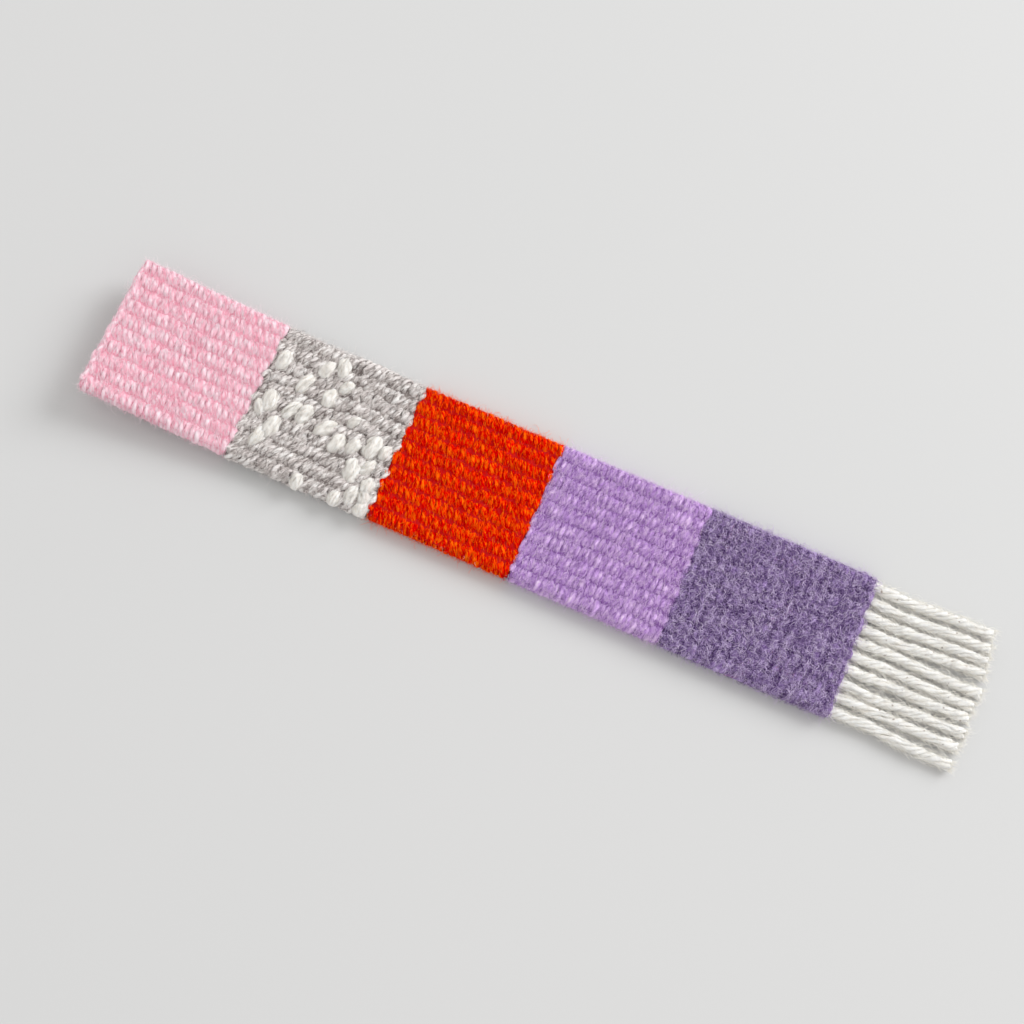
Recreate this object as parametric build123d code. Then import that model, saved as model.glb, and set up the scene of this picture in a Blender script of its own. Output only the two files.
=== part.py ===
from build123d import *
from math import cos, degrees, pi, radians, sin
import os

# A small hand-woven strip: five wool wefts beaten down in blocks of colour over ten cotton warp ends.
# The ten warp ends are five cords, each folded in two. The folds are woven in at the pink end, and the
# cut ends hang out of the other end as a fringe.
# Units are millimetres. The strip lies along X on its underside, with the fringe at +X.
# The origin is at the middle of the strip's box, on the surface that it lies on.

# Driving dimensions
PITCH = 3.0                 # between warp ends, across the strip
WARP_ENDS = 10
THICK = 3.5                 # over the beads on both faces
CORD_R = 0.95               # cotton warp cord
SEAT_R = 0.98               # the way that the weft leaves round a cord
BLOCK_LENGTH = {"pink": 31.8, "slub": 31.0, "red": 30.6, "lavender": 32.3, "heather": 36.0}
CURLED = ("pink", "slub")   # these two blocks lift gently off the surface
CURL_RISE = 5.0             # how far the pink end stands off the surface
TIP = 5.0                   # straight end of the pink block, round the folds of the warp
FOLD_COVER = 0.9            # wool beyond the outside of the folds

# Ribs: each warp end shows as a rounded rib on both faces, with a narrow flat crest.
RIB_WIDTH = PITCH + 0.2
RIB_CORNER = 1.15

# Fringe: for each warp end, its length past the weave, the sideways place of its tip,
# and the sideways swing of its middle, from the +Y edge of the strip.
FRINGE = [
    (25.5, 0.6, -0.3),
    (25.9, 0.5, -0.5),
    (26.2, 1.0, -0.4),
    (26.5, 1.3, -0.3),
    (27.0, 0.4, 0.4),
    (26.4, 0.3, 0.3),
    (26.1, 0.6, 0.3),
    (26.5, 0.4, -0.5),
    (26.0, 0.3, 0.3),
    (25.8, -0.5, 0.4),
]
FRINGE_SWING_AT = (0.34, 0.7)   # where along its length an end swings one way, then halfway back
FRINGE_ROOT = 4.0               # straight run inside the weave before an end starts to droop
TIP_CLEAR = 0.1                 # between a fringe tip and the surface

# Nubs of thick unspun wool in the slub weft: rib counted from -Y, millimetres past the pink block,
# length across the strip and width along it.
NUBS = [
    (7.1, 2.2, 4.3, 2.8), (6.2, 8.4, 4.2, 2.7), (7.7, 11.3, 3.8, 2.6), (8.3, 13.9, 4.0, 2.7),
    (6.0, 14.1, 3.9, 2.6), (4.1, 3.2, 4.6, 3.1), (3.4, 2.2, 3.2, 2.2), (4.1, 8.3, 4.0, 2.5),
    (4.2, 10.9, 4.2, 2.6), (2.5, 5.8, 4.6, 2.7), (1.5, 4.1, 4.2, 2.5), (3.9, 15.9, 4.0, 2.9),
    (3.3, 19.2, 3.9, 2.8), (3.5, 22.6, 3.6, 2.5), (4.0, 26.4, 4.8, 3.0), (2.0, 24.3, 4.6, 3.1),
    (7.1, 16.3, 3.0, 2.2), (5.1, 20.8, 2.6, 2.0),
]
NUB_HEIGHT = 1.5            # half height of a nub
NUB_SINK = 0.75             # how far its middle lies below the crests

MID_Z = THICK / 2
CURL_LENGTH = sum(BLOCK_LENGTH[name] for name in CURLED)
WOVEN_LENGTH = sum(BLOCK_LENGTH.values())

FLAT_LENGTH = WOVEN_LENGTH - CURL_LENGTH

# The curl is an arc that leaves the surface at a tangent and ends in the straight tip. Its rise is
# CURL_R (1 - cos a) + TIP sin a, and the angle is small, so a is the rise over ARC_LENGTH / 2 + TIP.
ARC_LENGTH = CURL_LENGTH - TIP
CURL_ANGLE = CURL_RISE / (ARC_LENGTH / 2 + TIP)
CURL_R = ARC_LENGTH / CURL_ANGLE
CURL_AXIS = Axis((0, 0, CURL_R), (0, 1, 0))


def side_point(along, height):
    """A point of the side view: `along` from the start of the curl towards the fringe, `height` above the
    underside, measured square to the strip."""
    if along >= 0:
        return along, height
    turned = min(-along, ARC_LENGTH) / CURL_R
    beyond = max(-along - ARC_LENGTH, 0)
    x = -(CURL_R - height) * sin(turned) - beyond * cos(turned)
    z = CURL_R - (CURL_R - height) * cos(turned) + beyond * sin(turned)
    return x, z


# The box runs from the pink end's lower or upper edge to the longest fringe tip.
X_LOW = min(side_point(-CURL_LENGTH, 0)[0], side_point(-CURL_LENGTH, THICK)[0])
X_HIGH = FLAT_LENGTH + max(length for length, _, _ in FRINGE)
SHIFT = -(X_LOW + X_HIGH) / 2


def rib_y(index):
    """Sideways place of a rib or warp end, counted from the -Y edge."""
    return (index - (WARP_ENDS - 1) / 2) * PITCH


def weave_section():
    """Section across the strip: ten rounded ribs side by side, standing on the YZ plane."""
    section = Sketch()
    for index in range(WARP_ENDS):
        section += Pos(rib_y(index), MID_Z) * RectangleRounded(RIB_WIDTH, THICK, RIB_CORNER)
    return Plane.YZ * section


def flat_block(start, length):
    """Weave from `start` past the end of the curl, `length` long."""
    return extrude(Pos(start, 0, 0) * weave_section(), length, dir=(1, 0, 0))


def curled_block(start, length):
    """Weave along the curl, from `start` to `start + length` measured from the end of the curl."""
    block = revolve(weave_section(), CURL_AXIS, degrees(length / CURL_R))
    return block.rotate(CURL_AXIS, degrees(start / CURL_R))


def tip_block():
    """The straight end of the pink block."""
    block = Pos(-TIP, 0, 0) * extrude(weave_section(), TIP, dir=(1, 0, 0))
    return block.rotate(CURL_AXIS, degrees(CURL_ANGLE))


def warp_point(along, y):
    """A point in the middle of the weave's thickness, where the warp lies."""
    x, z = side_point(along, MID_Z)
    return x, y, z


def warp_path(pair):
    """Middle line of one folded cord: from its fringe tip on the +Y side, through the weave, round the
    fold, and back to its other fringe tip."""
    near, far = rib_y(WARP_ENDS - 1 - 2 * pair), rib_y(WARP_ENDS - 2 - 2 * pair)
    fold_r = (near - far) / 2
    fold_start = -(CURL_LENGTH - FOLD_COVER - CORD_R - fold_r)
    edges = []
    for y, end in ((near, FRINGE[2 * pair]), (far, FRINGE[2 * pair + 1])):
        fringe = fringe_path(y, end)
        curl_start, curl_end = warp_point(0, y), warp_point(-ARC_LENGTH, y)
        edges += fringe.edges()
        edges.append(Line(curl_start, fringe @ 0))
        edges.append(ThreePointArc(curl_start, warp_point(-ARC_LENGTH / 2, y), curl_end))
        edges.append(Line(curl_end, warp_point(fold_start, y)))
    crown = warp_point(fold_start - fold_r, (near + far) / 2)
    edges.append(ThreePointArc(warp_point(fold_start, near), crown, warp_point(fold_start, far)))
    return Wire(edges)


def fringe_path(y, end):
    """The stretch of a warp end from just inside the weave to its tip: straight out, then a gentle droop
    to the surface with a slight swing."""
    length, tip_y, swing = end
    edge = FLAT_LENGTH
    low = CORD_R + TIP_CLEAR
    first, second = FRINGE_SWING_AT
    points = [
        (edge - FRINGE_ROOT, y, MID_Z),
        (edge + 2.5, y + 0.15 * swing, MID_Z - 0.05),
        (edge + first * length, y + 0.5 * tip_y * first + swing, MID_Z - 0.35),
        (edge + second * length, y + tip_y * second - 0.5 * swing, low + 0.1),
        (edge + length, y + tip_y, low),
    ]
    return FilletPolyline(*points, radius=bend_radii(points))


def bend_radii(points):
    """For each corner, the largest easy radius: 0.45 of the shorter run over the tangent of half the turn."""
    radii = []
    for before, here, after in zip(points, points[1:], points[2:]):
        run_in, run_out = Vector(*here) - Vector(*before), Vector(*after) - Vector(*here)
        half_turn = radians(run_in.get_angle(run_out)) / 2
        radii.append(0.45 * min(run_in.length, run_out.length) * cos(half_turn) / sin(half_turn))
    return radii


def cord_along(path, radius):
    """A round cord along a path, or the way for it."""
    section = Plane(path @ 0, z_dir=path % 0) * Circle(radius)
    return sweep(section, path=path)


def nubs():
    """Rounded nubs that stand out of the slub block's upper face."""
    shapes = []
    for rib, along, across, width in NUBS:
        x, z = side_point(-BLOCK_LENGTH["slub"] + along, THICK - NUB_SINK)
        nub = scale(Sphere(0.5), by=(width, across, 2 * NUB_HEIGHT))
        shapes.append(Pos(x, rib_y(rib), z) * nub)
    return shapes


def one_solid(shape, name):
    """The single solid that a node holds, moved to the row's origin."""
    solids = shape.solids()
    if len(solids) != 1:
        raise ValueError(f"{name} has {len(solids)} solids")
    return Pos(SHIFT, 0, 0) * solids[0]


def main():
    os.makedirs("parts", exist_ok=True)
    paths = [warp_path(pair) for pair in range(WARP_ENDS // 2)]
    ways = [cord_along(path, SEAT_R) for path in paths]

    slub = curled_block(0, BLOCK_LENGTH["slub"])
    slub = slub.fuse(*nubs())
    pink = curled_block(BLOCK_LENGTH["slub"], ARC_LENGTH - BLOCK_LENGTH["slub"]).fuse(tip_block())
    blocks = {"weft_pink": pink, "weft_slub": slub}
    start = 0
    for name in ("red", "lavender", "heather"):
        blocks[f"weft_{name}"] = flat_block(start, BLOCK_LENGTH[name])
        start += BLOCK_LENGTH[name]

    for name, block in blocks.items():
        solid = one_solid(block.cut(*ways), name)
        export_step(solid, f"parts/{name}.step")

    for number, path in enumerate(paths, start=1):
        cord = one_solid(cord_along(path, CORD_R), f"warp_cord_{number}")
        print(f"warp_cord_{number}: {path.length:.1f} mm long,",
              f"volume {cord.volume:.1f} of {pi * CORD_R**2 * path.length:.1f} mm3")
        export_step(cord, f"parts/warp_cord_{number}.step")


main()
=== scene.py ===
import math

import bpy
import numpy as np
from mathutils import Matrix, Vector


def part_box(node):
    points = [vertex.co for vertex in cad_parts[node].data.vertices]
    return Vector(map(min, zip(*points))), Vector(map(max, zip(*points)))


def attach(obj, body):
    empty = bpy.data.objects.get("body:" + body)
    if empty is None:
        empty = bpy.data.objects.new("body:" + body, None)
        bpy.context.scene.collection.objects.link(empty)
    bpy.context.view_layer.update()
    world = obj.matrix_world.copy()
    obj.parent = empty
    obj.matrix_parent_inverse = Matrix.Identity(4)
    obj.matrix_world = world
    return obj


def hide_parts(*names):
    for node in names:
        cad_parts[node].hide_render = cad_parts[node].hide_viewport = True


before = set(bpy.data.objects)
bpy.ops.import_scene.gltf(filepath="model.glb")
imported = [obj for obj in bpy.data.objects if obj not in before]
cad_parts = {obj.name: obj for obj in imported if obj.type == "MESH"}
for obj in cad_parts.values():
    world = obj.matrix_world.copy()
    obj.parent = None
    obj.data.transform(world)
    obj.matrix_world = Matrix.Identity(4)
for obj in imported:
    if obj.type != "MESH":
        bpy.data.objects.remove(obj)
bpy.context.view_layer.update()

# A hand-woven strip: five wool wefts over ten cotton warp ends. Geometry is worked out in millimetres in
# "strip coordinates": along (from the start of the curl towards the fringe), y (across the strip) and
# height (above the underside, square to the strip). place() bends them onto the lying strip.
MM = 0.001


def box_mm(node):
    """A CAD node's lowest and highest corners in millimetres."""
    return [np.array(corner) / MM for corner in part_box(node)]


# ---------------------------------------------------------------- the strip's own dimensions
PITCH = 3.0                      # between warp ends
WARP_ENDS = 10
CORD_R = 0.95
TIP = 5.0                        # straight end of the pink block
CURL_RISE = 5.0
SLUB_LENGTH = 31.0
PINK_LENGTH = 31.8
ARC_LENGTH = SLUB_LENGTH + PINK_LENGTH - TIP
CURL_ANGLE = CURL_RISE / (ARC_LENGTH / 2 + TIP)
CURL_R = ARC_LENGTH / CURL_ANGLE

CURL_START_X = box_mm("weft_red")[0][0]
LAVENDER_AT = box_mm("weft_lavender")[0][0] - CURL_START_X
HEATHER_AT = box_mm("weft_heather")[0][0] - CURL_START_X
WEAVE_END = box_mm("weft_heather")[1][0] - CURL_START_X
THICK = box_mm("weft_red")[1][2] - box_mm("weft_red")[0][2]
MID = THICK / 2
EDGE_WARP = (WARP_ENDS - 1) * PITCH / 2       # sideways place of the outermost warp ends

BEAD_HALF = 0.36                 # half thickness of a weft over the middle of a warp end
RISE = MID - BEAD_HALF           # height of its middle over the warp's


def place(along, y, height):
    """Strip coordinates to the row frame, in millimetres."""
    back = np.maximum(-along, 0)
    turned = np.minimum(back, ARC_LENGTH) / CURL_R
    beyond = np.maximum(back - ARC_LENGTH, 0)
    reach = CURL_R - height
    x = np.maximum(along, 0) - reach * np.sin(turned) - beyond * np.cos(turned)
    z = CURL_R - reach * np.cos(turned) + beyond * np.sin(turned)
    return np.stack([x + CURL_START_X, y, z], axis=-1)


# ---------------------------------------------------------------- small numeric helpers
def wander(x, y, size, seed, waves=7):
    """Smooth noise, about -1 to 1, with features of about the given size."""
    r = np.random.default_rng(seed)
    total = 0
    for _ in range(waves):
        angle, phase = r.uniform(0, 2 * math.pi, 2)
        step = 2 * math.pi / (size * r.uniform(1.4, 3.2))
        total = total + np.sin(step * (x * math.cos(angle) + y * math.sin(angle)) + phase)
    return total / math.sqrt(waves)


def wavy(gone, size, seed):
    """The same noise along a line, where gone is the way along it."""
    return wander(gone, 0 * gone, size, seed)


def unit(v):
    return v / np.maximum(np.linalg.norm(v, axis=-1, keepdims=True), 1e-9)


def lengths_along(points):
    """The way along a line to each of its points."""
    steps = np.linalg.norm(np.diff(points, axis=0), axis=1)
    return np.concatenate([[0], np.cumsum(steps)])


def frame_along(line):
    """The directions ahead, aside and above at each point of a line."""
    ahead = unit(np.gradient(line, axis=0))
    aside = unit(np.cross(ahead, [0, 0, 1.0]))
    return ahead, aside, np.cross(aside, ahead)


def new_mesh(name, points, quads, ngons=(), uvs=None, point_values=None, world=True):
    """A piece from points in millimetres. uvs holds a UV for every corner of the quads, by layer name."""
    points = place(*points.T) if not world else points
    sizes = np.concatenate([np.full(len(quads), 4), [len(g) for g in ngons]]).astype(np.int32)
    corners = np.concatenate([np.asarray(quads).ravel(), *[np.asarray(g) for g in ngons]])
    mesh = bpy.data.meshes.new(name)
    mesh.vertices.add(len(points))
    mesh.vertices.foreach_set("co", (points * MM).astype(np.float32).ravel())
    mesh.loops.add(len(corners))
    mesh.loops.foreach_set("vertex_index", corners.astype(np.int32))
    mesh.polygons.add(len(sizes))
    starts = np.concatenate([[0], np.cumsum(sizes)[:-1]]).astype(np.int32)
    mesh.polygons.foreach_set("loop_start", starts)
    mesh.polygons.foreach_set("use_smooth", np.ones(len(sizes), bool))
    for layer, values in (uvs or {}).items():
        rest = np.zeros((len(corners) - len(values), 2))
        uv = mesh.uv_layers.new(name=layer)
        uv.data.foreach_set("uv", np.concatenate([values, rest]).astype(np.float32).ravel())
    for key, values in (point_values or {}).items():
        mesh.attributes.new(key, "FLOAT", "POINT").data.foreach_set("value", values.astype(np.float32))
    mesh.update(calc_edges=True)
    mesh.validate()
    piece = bpy.data.objects.new(name, mesh)
    bpy.context.scene.collection.objects.link(piece)
    return piece


def rings_to_quads(ring_count, sides, first=0):
    """Corner indices of the quads between neighbouring rings of a tube."""
    ring, side = np.meshgrid(np.arange(ring_count - 1), np.arange(sides), indexing="ij")
    here, beside = ring * sides + side, ring * sides + (side + 1) % sides
    quads = np.stack([here, beside, beside + sides, here + sides], axis=-1)
    return quads.reshape(-1, 4) + first


def tube_caps(ring_count, sides, first=0):
    """Both ends of a tube, as a corner list each."""
    return [first + np.arange(sides)[::-1], first + (ring_count - 1) * sides + np.arange(sides)]


def corner_uvs(u_here, u_next, v_low, v_high):
    """UVs of each quad's four corners, in the order that rings_to_quads gives them."""
    u = np.stack([u_here, u_here, u_next, u_next], axis=-1)
    v = np.stack([v_low, v_high, v_high, v_low], axis=-1)
    return np.stack([u, v], axis=-1).reshape(-1, 2)


def tube_uvs(gone, sides):
    """A tube's Fibre UVs: millimetres along it and turns round it."""
    low = np.tile(np.arange(sides), len(gone) - 1) / sides
    return corner_uvs(gone[:-1].repeat(sides), gone[1:].repeat(sides), low, low + 1 / sides)


def inset(share, margin):
    """Shrinks 0 to 1 by a margin at both ends, so that the cells of the bake's map don't touch."""
    return margin + (1 - 2 * margin) * share


def atlas_row(fibre, length, row, rows):
    """The bake's UVs of a tube that has one row of the map to itself."""
    return np.stack([inset(fibre[:, 0] / length, 0.01), (row + inset(fibre[:, 1], 0.05)) / rows], axis=-1)


def tubes_piece(name, tubes, flip=False, world=False):
    """One piece of several tubes. Each has its rings, its Fibre and bake UVs, and a tone for every corner.
    flip is for rings that go round the other way."""
    turn = -1 if flip else 1
    rings, fibres, atlases, tones = zip(*tubes)
    quads, caps, first = [], [], 0
    for ring in rings:
        shape = (*ring.shape[:2], first)
        quads.append(rings_to_quads(*shape)[:, ::turn])
        caps += [cap[::turn] for cap in tube_caps(*shape)]
        first += ring.shape[0] * ring.shape[1]
    layers = {"Fibre": np.concatenate(fibres), "OFBake": np.concatenate(atlases)}
    layers = {key: uv.reshape(-1, 4, 2)[:, ::turn].reshape(-1, 2) for key, uv in layers.items()}
    points = np.concatenate([ring.reshape(-1, 3) for ring in rings])
    tone = np.concatenate([tone.ravel() for tone in tones])
    return new_mesh(name, points, np.concatenate(quads), caps, layers, {"tone": tone}, world=world)


# ---------------------------------------------------------------- materials
class Graph:
    """A material's nodes, with a short way to add and link them."""

    def __init__(self, name):
        self.material = bpy.data.materials.new(name)
        self.material.use_nodes = True
        self.tree = self.material.node_tree
        self.shader = self.tree.nodes["Principled BSDF"]

    def add(self, kind, inputs=None, **settings):
        node = self.tree.nodes.new("ShaderNode" + kind)
        for key, value in settings.items():
            setattr(node, key, value)
        for key, value in (inputs or {}).items():
            self.set(node.inputs[key], value)
        return node

    def set(self, socket, value):
        if isinstance(value, bpy.types.NodeSocket):
            self.tree.links.new(value, socket)
        else:
            socket.default_value = value

    def look(self, inputs):
        """Sets the shader's own sockets, and returns the material."""
        for key, value in inputs.items():
            self.set(self.shader.inputs[key], value)
        return self.material

    def maths(self, operation, a, b=0.0, clamp=False):
        node = self.add("Math", {0: a, 1: b}, operation=operation)
        node.use_clamp = clamp
        return node.outputs[0]

    def ramp(self, factor, stops):
        node = self.add("ValToRGB", {"Fac": factor})
        elements = node.color_ramp.elements
        while len(elements) < len(stops):
            elements.new(0.5)
        for element, (at, colour) in zip(elements, stops):
            element.position = at
            element.color = (*colour, 1)
        return node.outputs["Color"]

    def mix(self, factor, a, b):
        node = self.add("Mix", data_type="RGBA")
        for index, value in ((0, factor), (6, a), (7, b)):
            self.set(node.inputs[index], value)
        return node.outputs[2]


def rgb(r, g, b):
    """A colour as seen on a screen, 0 to 255, in the linear values that a shader takes."""
    return tuple(((c / 255 + 0.055) / 1.055) ** 2.4 if c > 10 else c / 255 / 12.92 for c in (r, g, b))


def fibre_noise(graph, along, around, seed, detail=3.0):
    """Streaks that run along the fibres of a yarn: its Fibre UV is millimetres along and turns around."""
    uv = graph.add("UVMap", uv_map="Fibre").outputs["UV"]
    stretch = {"Vector": uv, "Scale": (along, around, 1), "Location": (seed, seed, 0)}
    vector = graph.add("Mapping", stretch).outputs["Vector"]
    noise = graph.add("TexNoise", {"Vector": vector, "Scale": 1.0, "Detail": detail, "Roughness": 0.65})
    return noise.outputs["Fac"]


def patch_noise(graph, size_mm, detail=2.0):
    """Soft blotches in the object's own space."""
    position = graph.add("TexCoord").outputs["Object"]
    noise = graph.add("TexNoise", {"Vector": position, "Scale": 1000 / size_mm, "Detail": detail})
    return noise.outputs["Fac"]


def tone_colour(graph, dark, middle, light, extra=0.0):
    """The piece's tone attribute as a colour, moved by an extra value. Low tones give the dark colour,
    painted shade, and high tones the light one, painted highlight.
    """
    tone = graph.add("Attribute", attribute_name="tone").outputs["Fac"]
    tone = graph.maths("ADD", tone, extra, clamp=True)
    return graph.ramp(tone, [(0.0, dark), (0.5, middle), (1.0, light)])


def centred(graph, noise, size):
    """A 0 to 1 noise as a change of about -size to size."""
    return graph.maths("MULTIPLY", graph.maths("SUBTRACT", noise, 0.5), 2 * size)


def fibre_surface(g, streaks, fine, bump_mm, roughness):
    """Bump and roughness that follow a yarn's fibres."""
    height = g.maths("ADD", streaks, fine)
    bump = g.add("Bump", {"Height": height, "Strength": 0.7, "Distance": bump_mm * MM})
    rough = g.maths("ADD", g.maths("MULTIPLY", fine, 0.3), roughness)
    g.look({"Roughness": rough, "Normal": bump.outputs["Normal"]})


def wool(name, dark, middle, light, sheen, fibre=1.5, blotch=0.3, extra=None, gloss=0.12, soft=False):
    """Spun wool. The mesh's tone is 0 deep between the plies and 1 on top of a bead, so its colour ramp
    paints shade in the grooves and a highlight on the beads.
    """
    g = Graph(name)
    streaks = fibre_noise(g, 0.8, 9.0, 3.1)
    change = g.maths("ADD", centred(g, streaks, fibre), centred(g, patch_noise(g, 2.2), blotch))
    colour = tone_colour(g, dark, middle, light, change)
    if extra:
        colour = extra(g, colour, change)
    fibre_surface(g, streaks, fibre_noise(g, 2.0, 34.0, 8.3), 0.22, 0.7)
    if soft:
        g.look(LIGHT_THROUGH)
    return g.look({"Base Color": colour, "Specular IOR Level": gloss, "Sheen Weight": 2 * gloss,
                   "Sheen Roughness": 0.5, "Sheen Tint": (*sheen, 1)})


# white fibre passes light on inside, which fills its own shadows
LIGHT_THROUGH = {"Subsurface Weight": 0.45, "Subsurface Radius": (1.0, 0.94, 0.86),
                 "Subsurface Scale": 0.0008}


def fuzz_material(name, dark, middle, light, halo, gloss=0.1):
    """Single fibres, each with its own tone. The ones that stand out of the edges have the highest tones, up
    to a pale halo colour that is a painted highlight.
    """
    g = Graph(name)
    tone = g.add("Attribute", attribute_name="tone").outputs["Fac"]
    colour = g.ramp(tone, [(0.0, dark), (0.4, middle), (0.8, light), (1.0, halo)])
    return g.look({"Base Color": colour, "Roughness": 0.85, "Specular IOR Level": gloss})


def marl(g, colour, change):
    """Two plies of different wool: the mesh's ply is 0 on the grey one and 1 on the white one."""
    ply = g.add("Attribute", attribute_name="ply").outputs["Fac"]
    white = tone_colour(g, rgb(168, 157, 152), rgb(240, 235, 232), rgb(254, 252, 250), change)
    return g.mix(ply, colour, white)


def heather_flecks(g, colour, change):
    """Flecks of paler and pinkish fibre that were carded into the heather wool."""
    pale = g.ramp(patch_noise(g, 2.0, 3.0), [(0.5, (0, 0, 0)), (0.7, (0.45, 0.45, 0.45))])
    colour = g.mix(pale, colour, (*rgb(190, 176, 212), 1))
    streaks = g.maths("MULTIPLY", fibre_noise(g, 0.5, 7.0, 5.5), patch_noise(g, 6.0, 0.0))
    pink = g.ramp(streaks, [(0.375, (0, 0, 0)), (0.45, (0.6, 0.6, 0.6))])
    return g.mix(pink, colour, (*rgb(170, 104, 140), 1))


def cotton_material():
    """Plied cotton, with a few dark flecks of seed. Its tones paint warm shade where the plies turn in and a
    highlight on their outsides.
    """
    g = Graph("cotton_cord")
    streaks = fibre_noise(g, 0.9, 5.0, 1.7)
    change = centred(g, streaks, 0.9)
    colour = tone_colour(g, rgb(238, 230, 219), rgb(252, 248, 240), rgb(255, 254, 249), change)
    seeds = g.ramp(patch_noise(g, 0.9, 1.0), [(0.735, (0, 0, 0)), (0.75, (0.8, 0.8, 0.8))])
    colour = g.mix(seeds, colour, (*rgb(128, 98, 78), 1))
    fibre_surface(g, streaks, fibre_noise(g, 2.0, 16.0, 6.9), 0.3, 0.6)
    g.look(LIGHT_THROUGH)
    return g.look({"Base Color": colour, "Specular IOR Level": 0.25, "Sheen Weight": 0.2})


def painted_shade_ground_material(name, dark, middle):
    """The inside of a block's weave, coloured darker than its wool: painted shade."""
    g = Graph(f"{name}_ground")
    paler = [(d + m) / 2 for d, m in zip(dark, middle)]
    colour = g.mix(patch_noise(g, 0.5, 4.0), (*(0.7 * d for d in dark), 1), (*paler, 1))
    return g.look({"Base Color": colour, "Roughness": 0.95})


# ---------------------------------------------------------------- wefts
SIDES = 12                       # corners of a yarn's section
STEPS = 10                       # rings from one warp end to the next
TURN_STEPS = 9                   # rings round the outermost warp end


def weft_route(start, length, picks, loose, dive, flatness, seed):
    """One continuous yarn: over and under the ten warp ends, round the outermost one and back, pick by pick.

    A flatness below 1 makes the beads' tops flatter and their ends steeper. Returns the route's points in
    strip coordinates, how near each is to the middle of a bead (0 to 1), and the pick it belongs to."""
    r = np.random.default_rng(seed)
    spacing = length / picks
    lift = r.normal(0, 0.05 * loose, (picks + 1, WARP_ENDS))
    slide = r.normal(0, 0.06 * loose, (picks + 1, WARP_ENDS))
    dives = (np.arange(WARP_ENDS + 1) - WARP_ENDS / 2) * PITCH + r.normal(0, dive, (picks, WARP_ENDS + 1))
    dives[:, [0, -1]] = [-EDGE_WARP - PITCH / 2, EDGE_WARP + PITCH / 2]
    across = np.linspace(-EDGE_WARP, EDGE_WARP, (WARP_ENDS - 1) * STEPS + 1)
    points, crowns, rows = [], [], []
    for pick in range(picks):
        y = across if pick % 2 == 0 else -across
        warp = np.clip(np.searchsorted(dives[pick], y) - 1, 0, WARP_ENDS - 1)
        over = np.where((warp + pick) % 2 == 0, 1, -1)
        off = y + EDGE_WARP - warp * PITCH
        reach = np.where(off > 0, dives[pick, warp + 1], -dives[pick, warp]) - np.sign(off) * (y - off)
        crown = np.cos(math.pi / 2 * np.clip(np.abs(off) / np.maximum(reach, 0.5), 0, 1)) ** flatness
        height = MID + over * (RISE + lift[pick, warp]) * crown
        along = start + (pick + 0.5) * spacing + slide[pick, warp] * crown
        points.append(np.stack([along, y, height], axis=-1))
        crowns.append(np.clip(crown, 0, 1))
        rows.append(np.full(len(y), pick))
        if pick == picks - 1:
            break
        turn = np.linspace(0, math.pi, TURN_STEPS + 2)[1:-1]
        side = np.sign(y[-1])
        round_r = RISE + lift[pick, warp[-1]] * (1 + np.cos(turn)) / 2
        round_r = round_r + lift[pick + 1, warp[-1]] * (1 - np.cos(turn)) / 2
        edge_y = side * (EDGE_WARP + round_r * np.sin(turn))
        edge_h = MID + over[-1] * round_r * np.cos(turn)
        share = (1 - np.cos(turn)) / 2
        edge_along = start + (pick + 0.5 + share) * spacing
        edge_along = edge_along + slide[pick, warp[-1]] * (1 - share) + slide[pick + 1, warp[-1]] * share
        points.append(np.stack([edge_along, edge_y, edge_h], axis=-1))
        crowns.append(np.ones(len(turn)))
        rows.append(np.full(len(turn), pick))
    return np.concatenate(points), np.concatenate(crowns), np.concatenate(rows)


def plied_section(groove):
    """How far each corner of a two-ply yarn's section stands out: a groove where the plies meet."""
    corner = np.arange(SIDES) * 2 * math.pi / SIDES
    return 1 - groove * (1 - np.abs(np.sin(corner)))


def yarn_rings(points, half_width, half_thick, turn, section):
    """Rings of a flattened, plied yarn round a route in strip coordinates."""
    ahead = unit(np.gradient(points, axis=0))
    sideways = unit(np.array([1.0, 0, 0]) - ahead * ahead[:, :1])
    outwards = np.cross(ahead, sideways)
    angle = turn[:, None] + np.arange(SIDES) * 2 * math.pi / SIDES
    wide = (half_width[:, None] * section * np.cos(angle))[..., None]
    deep = (half_thick[:, None] * section * np.sin(angle))[..., None]
    return points[:, None] + wide * sideways[:, None] + deep * outwards[:, None]


def ply_depth(section):
    """0 in the groove between two plies and 1 on their backs."""
    return (section - section.min()) / (section.max() - section.min())


def pick_atlas(row, picks):
    """The bake's UVs of a weft: each pick has a row of the map to itself."""
    first, row_size = np.searchsorted(row, np.arange(picks)), np.bincount(row, minlength=picks)
    place_in_row = (np.arange(len(row)) - first[row])[:-1].repeat(SIDES)
    of_row, side = row[:-1].repeat(SIDES), np.tile(np.arange(SIDES), len(row) - 1)
    u = [inset((place_in_row + k) / row_size[of_row], 0.004) for k in (0, 1)]
    v = [(of_row + inset((side + k) / SIDES, 0.06)) / picks for k in (0, 1)]
    return corner_uvs(*u, *v)


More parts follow.
